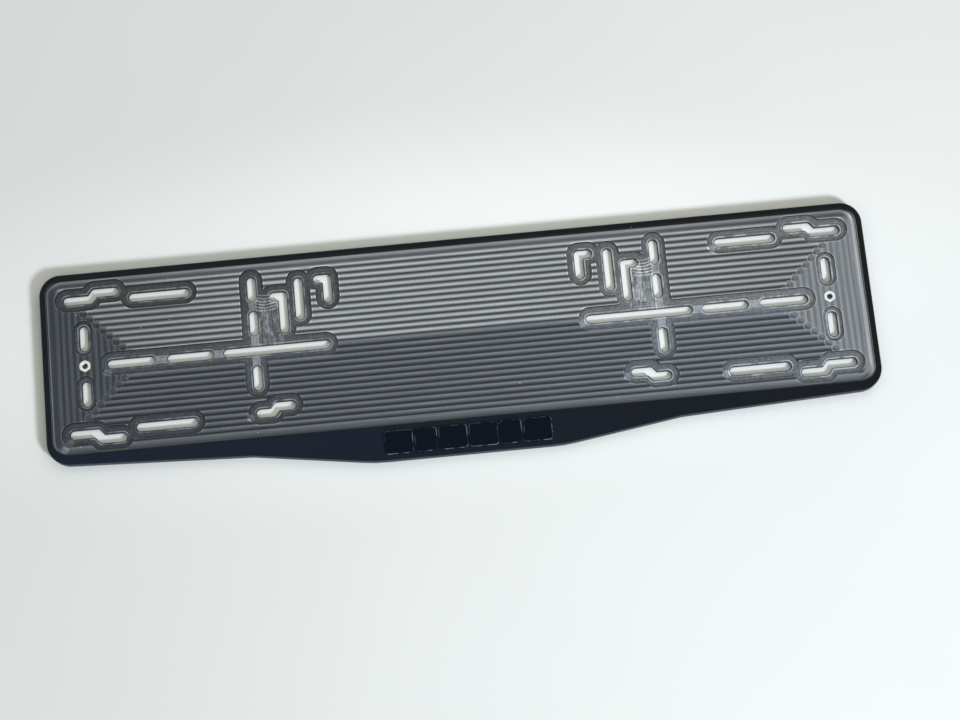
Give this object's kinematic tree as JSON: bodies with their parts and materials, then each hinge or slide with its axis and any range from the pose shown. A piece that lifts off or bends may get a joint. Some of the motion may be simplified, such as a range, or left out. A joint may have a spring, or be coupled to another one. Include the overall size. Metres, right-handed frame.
{
  "type": "number plate holder",
  "caption": "Flat milled sheet with a shallow ridged pocket for a long number plate, slots in recesses for body screws, nuts set flush at both ends, and a lip with raised tiles",
  "frame": {"origin": "centre of the number plate's pocket, on the flat back face of the sheet", "axes": "+X along the length to the right as the front is seen upright, +Y up towards the top edge, away from the lip, +Z out of the front face"},
  "size_m": [0.53, 0.14, 0.0072],
  "materials": {
    "holder_plate": "satin black skin, milled to a ridged mid-grey floor in the pocket and recesses",
    "nut": "bright zinc plating",
    "lip_tile": "gloss black"
  },
  "bodies": {
    "root": {"holder_plate": "holder_plate", "left_nut": "nut", "right_nut": "nut", "lip_tile_1": "lip_tile", "lip_tile_2": "lip_tile", "lip_tile_3": "lip_tile", "lip_tile_4": "lip_tile", "lip_tile_5": "lip_tile", "lip_tile_6": "lip_tile"}
  },
  "joints": []
}
